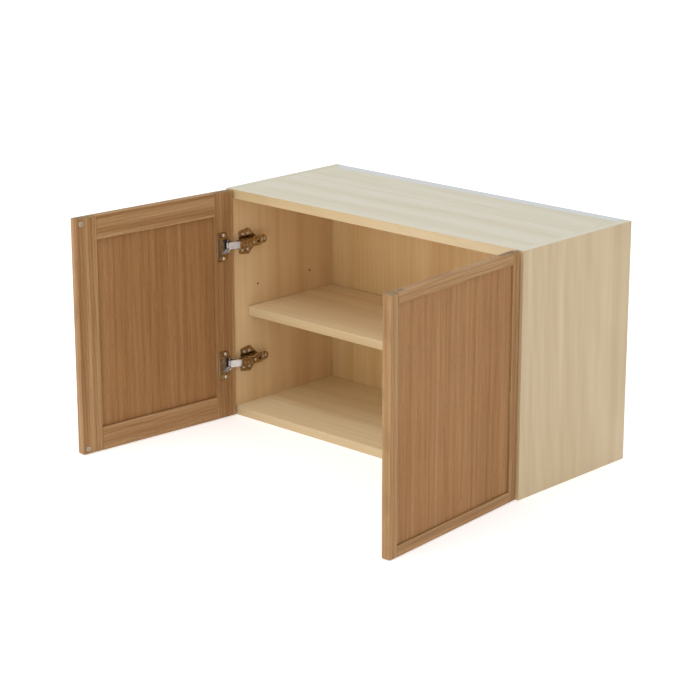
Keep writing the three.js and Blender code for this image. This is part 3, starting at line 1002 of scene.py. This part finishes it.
@dataclass
class Shelf:
    """The shelf and the steel pins that it rests on."""

    pin_softness: float = 0.6 * MM
    pin_edge: float = 0.18 * MM
    shank_length: float = 0.53
    shank_girth: float = 0.7

    def pins(self) -> None:
        """Turns the four shelf pins."""
        look = BRIGHT_STEEL.material()
        for side in Side:
            for place in ("front", "rear"):
                node = f"shelf_pin_{place}_{side.value}"
                low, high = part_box(node)
                radius = (high.z - low.z) / 2
                length = high.x - low.x
                shank = self.shank_length * length
                slim = self.shank_girth * radius
                soft, edge = self.pin_softness, self.pin_edge
                profile = [
                    (0, 0),
                    (slim - soft, 0),
                    (slim, soft),
                    (slim, shank),
                    (radius - edge, shank),
                    (radius, shank + edge),
                    *arc((radius - soft, length - soft), soft, 0, 90, steps=4),
                    (0, length),
                ]
                bm = turned(profile, steps=32)
                bm.transform(Matrix.Rotation(math.radians(-90), 4, "Z"))
                mirrored(bm, side)
                in_side = low.x if side is Side.LEFT else high.x
                start = Matrix.Translation((in_side, *((low + high) / 2).yz))
                stand(f"turned_{node}", bm, "carcass", [look], start, [node])

    def build(self, carcass: Carcass) -> None:
        """Builds the shelf and its pins.

        Args:
            carcass: Whose boards the shelf is made like.
        """
        nowhere = Vector((0, 0, 0))
        # The shelf takes the paler copy with painted sheen.
        carcass.banded("shelf", "shelf", Axis.X, seed=5.2, outward=nowhere, inside=MAPLE_SHELF_SHEEN)
        self.pins()


# ---------- Screws ----------


@dataclass(frozen=True)
class Screw:
    """A domed screw head with a cross recess, looking along +Y."""

    radius: float
    height: float
    rim_share: float = 0.35
    recess_share: float = 0.6
    slot_reach: float = 0.62
    slot_half_width: float = 0.13

    def solid(self) -> bmesh.types.BMesh:
        """Builds the head.

        Returns:
            The head, with its underside at the origin.
        """
        rim = self.rim_share
        dome = [
            (self.radius * math.cos(a), self.height * (rim + (1 - rim) * math.sin(a)))
            for a in (math.radians(t) for t in range(0, 90, 15))
        ]
        profile = [(0, 0), (self.radius, 0), *dome, (0, self.height)]
        head = turned(profile, steps=32)
        arm = self.slot_reach * self.radius
        half = self.slot_half_width * self.radius
        floor = self.height * (1 - self.recess_share)
        for reach, thick in ((arm, half), (half, arm)):
            slot = brick((-reach, floor, -thick), (reach, 2 * self.height, thick))
            head = carved(head, [slot])
        return head


class Head(Enum):
    """The screw heads in use."""

    WOOD = Screw(3.6 * MM, 1.7 * MM)
    ADJUSTING = Screw(2.8 * MM, 1.1 * MM)

    def mesh(self) -> bpy.types.Mesh:
        """Keeps the head as a mesh for copies.

        Returns:
            The mesh, looking along +Y.
        """
        mesh = bpy.data.meshes.new(f"{self.name.lower()}_screw_head")
        bm = self.value.solid()
        bm.to_mesh(mesh)
        bm.free()
        return mesh


def screw_copies(head: bpy.types.Mesh, places: Sequence[Matrix]) -> bmesh.types.BMesh:
    """Puts copies of a screw head in one mesh.

    Args:
        head: The head, looking along +Y.
        places: Where each copy goes.

    Returns:
        All the copies.
    """
    whole = bmesh.new()
    for place in places:
        known = len(whole.verts)
        whole.from_mesh(head)
        whole.verts.ensure_lookup_table()
        bmesh.ops.transform(whole, matrix=place, verts=whole.verts[known:])
    return whole


# ---------- Hinges ----------


@dataclass
class Hinge:
    """One cup hinge: a plate and an arm on the side, a link, and a cup in the door."""

    side: Side
    level: Level
    looks: dict[Plating, bpy.types.Material]
    heads: dict[Head, bpy.types.Mesh]
    knuckle: float = 3.2 * MM
    link_softness: float = 0.9 * MM
    pin_softness: float = 0.35 * MM
    sheet_softness: float = 0.25 * MM
    wall_softness: float = 0.2 * MM
    tail_softness: float = 0.35 * MM
    wing_softness: float = 0.5 * MM
    block_softness: float = 0.8 * MM
    play: float = 0.4 * MM
    plate_sheet: float = 2.0 * MM
    plate_margin: float = 4 * MM
    plate_screw_setbacks: Point = (24.5 * MM, 39 * MM)
    plate_screw_rise: float = 16 * MM
    plate_front: float = 14 * MM
    plate_rear: float = 61 * MM
    plate_rise: float = 27 * MM
    plate_corner: float = 3 * MM
    block_rise: float = 7 * MM
    block_off_side: float = 10.3 * MM
    arm_sheet: float = 1.5 * MM
    arm_off_side: float = 19.6 * MM
    arm_cheek: float = 9.0 * MM
    arm_nose: float = 0.6 * MM
    arm_step: float = 58 * MM
    arm_end: float = 83 * MM
    arm_half: float = 8.9 * MM
    arm_round: float = 2.4 * MM
    wall_play: float = 0.15 * MM
    wall_inset: float = 0.3 * MM
    wall_below: float = 0.7 * MM
    slot_setbacks: Point = (49.5 * MM, 53 * MM)
    slot_half: float = 1.9 * MM
    ring_setback: float = 15 * MM
    ring_radius: float = 5 * MM
    ring_wire: float = 0.6 * MM
    ring_sink: float = 0.1 * MM
    side_screw: float = 39 * MM
    tail_off_side: float = 10.6 * MM
    tail_screws: Point = (68 * MM, 76 * MM)
    cup_centre: float = 21.5 * MM
    cup_radius: float = 17.25 * MM
    cup_hollow: float = 15.65 * MM
    cup_depth: float = 11.8 * MM
    cup_floor: float = 1.0 * MM
    cup_step: float = 0.1 * MM
    cup_rim: float = 0.8 * MM
    cup_round: float = 2 * MM
    cup_inner_round: float = 1 * MM
    flange_half: float = 30 * MM
    flange_reach: float = 20.5 * MM
    flange_sheet: float = 0.8 * MM
    flange_rise: float = 1.0 * MM
    flange_corner: float = 5 * MM
    flange_lip: float = 1.2 * MM
    flange_waist: Point = (0.5, 0.86)
    flange_gap: float = 0.3 * MM
    lip_softness: float = 0.4 * MM
    flange_screw: Point = (3.0 * MM, 24 * MM)
    flange_screw_turn: float = 0.9
    look_margin: float = 0.1 * MM
    highlight_above: float = 0.3

    def name(self, part: str) -> str:
        """Names one of this hinge's pieces."""
        return f"{part}_{self.level.value}_{self.side.value}"

    def on_side(self) -> Matrix:
        """Gives the hinge's place on the side panel.

        Returns:
            The place, with x into the cabinet and y to the rear.
        """
        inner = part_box("top_panel")[0 if self.side is Side.LEFT else 1].x
        low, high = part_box(self.name("hinge_arm"))
        return Matrix.Translation((inner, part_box("top_panel")[0].y, (low.z + high.z) / 2))

    def plate(self) -> None:
        """Presses the mounting plate: two wings and a raised block."""
        front, rear = self.plate_front, self.plate_rear
        wing = self.plate_screw_setbacks[1] + self.plate_margin
        rise, corner, block = self.plate_rise, self.plate_corner, self.block_rise
        upper = [
            *arc((front + corner, rise - 2 * corner), corner, 180, 105, steps=5),
            *arc((wing - corner, rise - corner), corner, 95, 30, steps=5),
            (rear - corner, block + corner),
            *arc((rear - corner, block), corner, 50, 0, steps=4),
        ]
        lower = [(y, -z) for y, z in reversed(upper)]
        wings = slab(upper + lower, 0, self.plate_sheet, Axis.X)
        ease(wings, self.wing_softness, segments=3)
        end = self.arm_step - self.arm_sheet - self.play
        raised = brick((0.5 * self.plate_sheet, front, -block), (self.block_off_side, end, block))
        ease(raised, self.block_softness, segments=3)
        bm = mirrored(merged([wings, raised]), self.side)
        stand(
            self.name("pressed_plate"), bm, "carcass", [self.looks[Plating.NICKEL]],
            self.on_side(), [self.name("mounting_plate")],
        )

    def arm(self) -> None:
        """Folds the arm: a channel over the block, a step and a flat tail with a round end."""
        outer, cheek, half = self.arm_off_side, self.arm_cheek, self.arm_half
        turn, sheet = self.arm_round, self.arm_sheet
        small = turn - sheet
        path = [
            (cheek, -half),
            *arc((outer - turn, turn - half), turn, -90, 0),
            *arc((outer - turn, half - turn), turn, 0, 90),
            (cheek, half),
            (cheek, half - sheet),
            *arc((outer - turn, half - turn), small, 90, 0),
            *arc((outer - turn, turn - half), small, 0, -90),
            (cheek, sheet - half),
        ]
        channel = slab(path, self.arm_nose, self.arm_step, Axis.Y)
        near, far = self.slot_setbacks
        slot = [
            *arc((far, 0), self.slot_half, -90, 90),
            *arc((near, 0), self.slot_half, 90, 270),
        ]
        channel = carved(channel, [slab(slot, outer - 2 * sheet, outer + sheet, Axis.X)])
        ease(channel, self.sheet_softness, least=60)
        wall_end = self.arm_step - self.wall_play
        wall_half = half - turn / 2 - self.wall_inset
        wall = brick(
            (self.tail_off_side, wall_end - sheet, -wall_half),
            (outer - self.wall_below, wall_end, wall_half),
        )
        ease(wall, self.wall_softness)
        tail_start = self.arm_step - 2 * sheet
        round_end = self.arm_end - half
        round_tail = arc((round_end, 0), half, -90, 90, steps=24)
        outline = [(tail_start, -half), *round_tail, (tail_start, half)]
        tail = slab(outline, self.tail_off_side, self.tail_off_side + sheet, Axis.X)
        ease(tail, self.tail_softness)
        wire = arc((self.ring_radius, 0), self.ring_wire, 0, 360, steps=12)
        ring = turned(wire[:-1], steps=40)
        ring.transform(Matrix.Rotation(math.radians(-90), 4, "Z"))
        ring.transform(Matrix.Translation((outer - self.ring_sink, self.ring_setback, 0)))
        bm = mirrored(merged([channel, wall, tail, ring]), self.side)
        stand(
            self.name("folded_arm"), bm, "carcass", [self.looks[Plating.NICKEL]],
            self.on_side(), [self.name("hinge_arm")],
        )

    def fixed_screws(self) -> None:
        """Puts the wood screws in the plate and the adjusting screws in the arm."""
        out = Matrix.Rotation(math.radians(-90), 4, "Z")
        places = [
            Matrix.Translation((self.plate_sheet, y, z)) @ out @ Matrix.Rotation((y + z) / MM, 4, "Y")
            for y in self.plate_screw_setbacks
            for z in (-self.plate_screw_rise, self.plate_screw_rise)
        ]
        bm = mirrored(screw_copies(self.heads[Head.WOOD], places), self.side)
        zinc = [self.looks[Plating.ZINC]]
        stand(self.name("plate_screws"), bm, "carcass", zinc, self.on_side())
        tail = self.tail_off_side + self.arm_sheet
        spots = [(self.arm_off_side, self.side_screw), *[(tail, y) for y in self.tail_screws]]
        places = [
            Matrix.Translation((x, y, 0)) @ out @ Matrix.Rotation(y / MM, 4, "Y") for x, y in spots
        ]
        bm = mirrored(screw_copies(self.heads[Head.ADJUSTING], places), self.side)
        stand(self.name("adjusting_screws"), bm, "carcass", zinc, self.on_side())

    def rod(self, part: str, body: str) -> None:
        """Turns a hinge pin with slightly domed ends.

        Args:
            part: The pin's name without its level and side.
            body: The body that it moves with.
        """
        node = self.name(part)
        low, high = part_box(node)
        radius = (high.x - low.x) / 2
        half = (high.z - low.z) / 2
        soft = self.pin_softness
        profile = [
            (0, -half),
            *arc((radius - soft, soft - half), soft, -90, 0, steps=4),
            *arc((radius - soft, half - soft), soft, 0, 90, steps=4),
            (0, half),
        ]
        bm = turned(profile, steps=24)
        bm.transform(Matrix.Rotation(math.radians(90), 4, "X"))
        centre = Matrix.Translation((low + high) / 2)
        # The pins take the dark steel, darker partly as painted shade in the gap round the arm pin.
        stand(f"turned_{node}", bm, body, [self.looks[Plating.PIN]], centre, [node])

    def link(self) -> None:
        """Presses the bright link with rounded edges."""
        node = self.name("hinge_link")
        low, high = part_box(node)
        centre = Matrix.Translation((low + high) / 2)
        bm = from_node(node, centre)
        ease(bm, self.link_softness, segments=4, least=50)
        body = f"{self.side.value}_links"
        joint = next(j for j in frame["joints"] if j["name"] == f"{self.side.value}_link_swing")
        pin = (Vector(joint["pos_m"]) - centre.translation).xy

        def link_look(_normal: Vector, middle: Vector) -> int:
            """The knuckle round the arm pin gets the dark pin steel as painted shade."""
            return 1 if (middle.xy - pin).length < self.knuckle else 0

        # The knuckle gets the dark steel: painted shade.
        looks = [self.looks[Plating.SATIN], self.looks[Plating.PIN]]
        stand(f"pressed_{node}", bm, body, looks, centre, [node], link_look)

    def cup(self, door: Matrix, height: float) -> None:
        """Draws the cup and presses its flange, in the door's own axes.

        Args:
            door: The door's place.
            height: The hinge's height above the door's lower edge.
        """
        rim, outer, inner = self.cup_rim, self.cup_round, self.cup_inner_round
        low, floor = -self.cup_depth, self.cup_floor - self.cup_depth
        profile = [
            (0, low),
            (self.cup_radius - outer, low),
            *arc((self.cup_radius - outer, low + outer), outer, -90, 0, steps=5),
            (self.cup_radius, self.cup_step),
            *arc((self.cup_hollow + rim, self.flange_rise - rim), rim, 0, 180, steps=8),
            *arc((self.cup_hollow - inner, floor + inner), inner, 0, -90, steps=5),
            (0, floor),
        ]
        bowl = turned(profile, steps=64)
        corner, half, reach = self.flange_corner, self.flange_half, self.flange_reach
        waist, rise = (share * self.cup_radius for share in self.flange_waist)
        upper = [
            *arc((reach - corner, half - corner), corner, 0, 90, steps=6),
            *arc((0.5 * MM, half - corner), corner, 95, 135, steps=5),
            (-waist, rise),
        ]
        outline = upper + [(x, -z) for x, z in reversed(upper)]
        flange = slab(outline, self.flange_rise - self.flange_sheet, self.flange_rise, Axis.Y)
        wide = self.cup_hollow + self.flange_gap
        below, above = -MM, 3 * MM
        hole = turned([(0, below), (wide, below), (wide, above), (0, above)], steps=64)
        flange = carved(flange, [hole])
        ease(flange, self.sheet_softness, least=60)
        lip_half = half - corner
        lip = brick(
            (reach - self.flange_lip, 0.5 * self.flange_rise, -lip_half),
            (reach, self.flange_rise + 0.5 * self.flange_lip, lip_half),
        )
        ease(lip, self.lip_softness, segments=3)
        u, z = self.flange_screw
        turns = {way: Matrix.Rotation(self.flange_screw_turn * way, 4, "Y") for way in (-1, 1)}
        places = [
            Matrix.Translation((u, self.flange_rise, way * z)) @ turn
            for way, turn in turns.items()
        ]
        screws = screw_copies(self.heads[Head.WOOD], places)
        body = f"{self.side.value}_door"
        place = door @ Matrix.Translation((self.side.sign * self.cup_centre, 0, height))
        bm = mirrored(merged([bowl, flange, lip]), self.side)
        node = self.name("hinge_cup")

        shown = (Plating.NICKEL, Plating.HOLLOW, Plating.SATIN, Plating.PIN)

        def hollow_look(normal: Vector, middle: Vector) -> int:
            """Picks a face's look: nickel, the hollow's painted shade, the painted highlight on its
            low wall, or the grey lip with a painted reflection tone.

            Args:
                normal: Where the face looks.
                middle: The face's middle.

            Returns:
                The look's place in the list below.
            """
            margin = self.look_margin
            # The lip gets the grey steel: a painted reflection tone on the nickel sheet.
            if abs(middle.x) > reach - self.flange_lip - margin:
                return shown.index(Plating.PIN)
            inside = math.hypot(middle.x, middle.z) < self.cup_hollow + margin
            if not inside or middle.y > 0:
                return shown.index(Plating.NICKEL)
            # Upward-facing faces in the hollow get a painted highlight, the others painted shade.
            bright = normal.z > self.highlight_above
            return shown.index(Plating.SATIN if bright else Plating.HOLLOW)

        looks = [self.looks[plating] for plating in shown]
        stand(f"drawn_{node}", bm, body, looks, place, [node], hollow_look)
        bm = mirrored(screws, self.side)
        stand(self.name("flange_screws"), bm, body, [self.looks[Plating.ZINC]], place)

    def build(self, door: Matrix, height: float) -> None:
        """Builds the hinge.

        Args:
            door: The door's place.
            height: The hinge's height above the door's lower edge.
        """
        self.plate()
        self.arm()
        self.fixed_screws()
        self.link()
        self.rod("arm_pin", "carcass")
        self.rod("cup_pin", f"{self.side.value}_door")
        self.cup(door, height)


# ---------- Doors ----------


@dataclass
class Door:
    """A framed oak door. In its own axes x runs from the hinge edge, and y is 0 on the inner face."""

    side: Side
    open_angle: float = 95.0
    pin_from_edge: float = 10 * MM
    pin_depth: float = 5 * MM
    frame_softness: float = 0.6 * MM
    panel_softness: float = 0.3 * MM
    end_facing: float = 0.8
    bumper_gap: float = 0.15 * MM
    bumper_edge: float = 0.2 * MM
    bumper_foot: float = 0.45 * MM
    bumper_shoulder: float = 0.5 * MM
    bumper_rise: float = 2.0 * MM

    @property
    def body(self) -> str:
        """The body that the door's pieces move with."""
        return f"{self.side.value}_door"

    def node(self, part: str) -> str:
        """Names one of this door's frame nodes."""
        return f"{part}_{self.side.value}"

    def place(self) -> Matrix:
        """Finds the open door from the pin that it turns on.

        Returns:
            The place of the door's own axes.
        """
        joint = next(j for j in frame["joints"] if j["name"] == f"{self.side.value}_door_swing")
        pivot = Vector(joint["pos_m"])
        pivot.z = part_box(self.node("door_stile_hinge"))[0].z
        turn = Matrix.Rotation(math.radians(-self.side.sign * self.open_angle), 4, "Z")
        pin = Vector((self.side.sign * self.pin_from_edge, -self.pin_depth, 0))
        return Matrix.Translation(pivot) @ turn @ Matrix.Translation(-pin)

    def timber(self, part: str, grain: Axis, seed: float) -> None:
        """Builds a stile or a rail of solid oak, with its ends across the grain.

        Args:
            part: The piece's name without its side.
            grain: The way its grain runs.
            seed: What makes its wood differ.
        """
        place = self.place()
        node = self.node(part)
        bm = from_node(node, place)
        ease(bm, self.frame_softness)
        looks = [OAK.material(grain, seed), OAK_END.material(seed)]
        stand(
            f"oak_{node}", bm, self.body, looks, place, [node],
            lambda normal, _middle: 1 if abs(normal[grain.value]) > self.end_facing else 0,
        )

    def panel(self, seed: float) -> None:
        """Builds the veneered panel.

        Args:
            seed: What makes its veneer differ.
        """
        place = self.place()
        node = self.node("door_panel")
        bm = from_node(node, place)
        ease(bm, self.panel_softness)
        look = OAK_VENEER.material(Axis.Z, seed)
        stand(f"veneered_{node}", bm, self.body, [look], place, [node])

    def bumpers(self, look: bpy.types.Material) -> None:
        """Moulds the two clear bumpers.

        Args:
            look: Their finish.
        """
        door = self.place()
        for level in Level:
            node = f"bumper_{level.value}_{self.side.value}"
            low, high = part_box(node)
            centre = door.inverted() @ ((low + high) / 2)
            radius = (high.z - low.z) / 2
            shoulder, dome = self.bumper_shoulder, self.bumper_rise - self.bumper_shoulder
            profile = [
                (0, self.bumper_gap),
                (radius - self.bumper_edge, self.bumper_gap),
                (radius, self.bumper_foot),
                *[
                    (radius * math.cos(a), shoulder + dome * math.sin(a))
                    for a in (math.radians(t) for t in range(10, 90, 10))
                ],
                (0, self.bumper_rise),
            ]
            bm = turned(profile, steps=40)
            place = door @ Matrix.Translation((centre.x, 0, centre.z))
            stand(f"moulded_{node}", bm, self.body, [look], place, [node])

    def build(self) -> None:
        """Builds the door."""
        seed = 0.0 if self.side is Side.LEFT else 3.9
        self.timber("door_stile_hinge", Axis.Z, seed + 0.7)
        self.timber("door_stile_free", Axis.Z, seed + 1.6)
        for i, level in enumerate(Level):
            self.timber(f"door_rail_{level.value}", Axis.X, seed + 2.2 + 0.6 * i)
        self.panel(seed + 3.1)
        self.bumpers(RUBBER_CLEAR.material())


# ---------- Studio ----------


@dataclass(frozen=True)
class Lamp:
    """A square soft light: where it hangs, the length of its sides and its power in watts."""

    name: str
    spot: tuple[float, float, float]
    size: float
    power: float


@dataclass
class Studio:
    """The floor, the lights and the camera."""

    lamps: tuple[Lamp, ...] = (
        Lamp("key", (3.2, -3.4, 3.0), 2.4, 15),
        Lamp("front", (-1.0, -4.5, 0.6), 2.2, 27),
        Lamp("top", (0.1, -1.5, 3.2), 1.8, 30),
    )
    azimuth: float = 43.2
    elevation: float = 16.56
    distance: float = 4.233
    lens: float = 114.1
    aim: tuple[float, float, float] = (-0.0135, -0.350, -0.216)
    ambient: float = 0.79
    floor_glow: float = 0.38
    floor_size: float = 60.0
    floor_shade: float = 0.93
    floor_roughness: float = 0.9
    floor_specular: float = 0.1

    def camera(self) -> None:
        """Sets up the camera."""
        turn, rise = math.radians(self.azimuth), math.radians(self.elevation)
        back = Vector((math.sin(turn), -math.cos(turn), math.tan(rise))).normalized()
        data = bpy.data.cameras.new("camera")
        data.lens = self.lens
        camera = bpy.data.objects.new("camera", data)
        camera.location = Vector(self.aim) + self.distance * back
        camera.rotation_euler = back.to_track_quat("Z", "Y").to_euler()
        bpy.context.scene.collection.objects.link(camera)
        bpy.context.scene.camera = camera

    def hang(self, lamp: Lamp) -> None:
        """Hangs a light that looks at the cabinet.

        Args:
            lamp: The light.
        """
        data = bpy.data.lights.new(lamp.name, "AREA")
        data.size = lamp.size
        data.energy = lamp.power
        light = bpy.data.objects.new(lamp.name, data)
        light.location = lamp.spot
        towards = Vector(self.aim) - Vector(lamp.spot)
        light.rotation_euler = towards.to_track_quat("-Z", "Y").to_euler()
        bpy.context.scene.collection.objects.link(light)

    def floor(self) -> None:
        """Lays a pale floor under the cabinet."""
        half = self.floor_size / 2
        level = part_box("side_panel_left")[0].z
        bm = bmesh.new()
        corners = [(-half, -half), (half, -half), (half, half), (-half, half)]
        bm.faces.new([bm.verts.new((x, y, level)) for x, y in corners])
        mesh = bpy.data.meshes.new("floor")
        bm.to_mesh(mesh)
        bm.free()
        shader = Shader("pale_floor")
        shader.fix("Base Color", (*[self.floor_shade] * 3, 1))
        shader.fix("Roughness", self.floor_roughness)
        shader.fix("Specular IOR Level", self.floor_specular)
        shader.fix("Emission Color", (1, 1, 1, 1))
        shader.fix("Emission Strength", self.floor_glow)
        mesh.materials.append(shader.material)
        floor = bpy.data.objects.new("floor", mesh)
        bpy.context.scene.collection.objects.link(floor)

    def build(self) -> None:
        """Builds the studio."""
        self.camera()
        self.floor()
        for lamp in self.lamps:
            self.hang(lamp)
        world = bpy.data.worlds.new("studio")
        world.use_nodes = True
        background = world.node_tree.nodes["Background"]
        background.inputs["Color"].default_value = (1, 1, 1, 1)
        background.inputs["Strength"].default_value = self.ambient
        bpy.context.scene.world = world
        bpy.context.scene.view_settings.view_transform = "Standard"


def main() -> None:
    """Builds the cabinet and its studio, piece by piece."""
    logging.basicConfig(level=logging.INFO, format="%(message)s")
    Studio().build()
    LOG.info("studio built")
    carcass = Carcass()
    carcass.build()
    LOG.info("carcass built")
    Shelf().build(carcass)
    LOG.info("shelf built")
    looks = {plating: plating.value.material() for plating in Plating}
    heads = {head: head.mesh() for head in Head}
    for side in Side:
        door = Door(side)
        door.build()
        LOG.info("%s door built", side.value)
        for level in Level:
            low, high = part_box(f"hinge_cup_{level.value}_{side.value}")
            place = door.place()
            height = (low.z + high.z) / 2 - place.translation.z
            Hinge(side, level, looks, heads).build(place, height)
            LOG.info("%s %s hinge built", level.value, side.value)
    LOG.info("sizes kept")


if __name__ == "__main__":
    main()
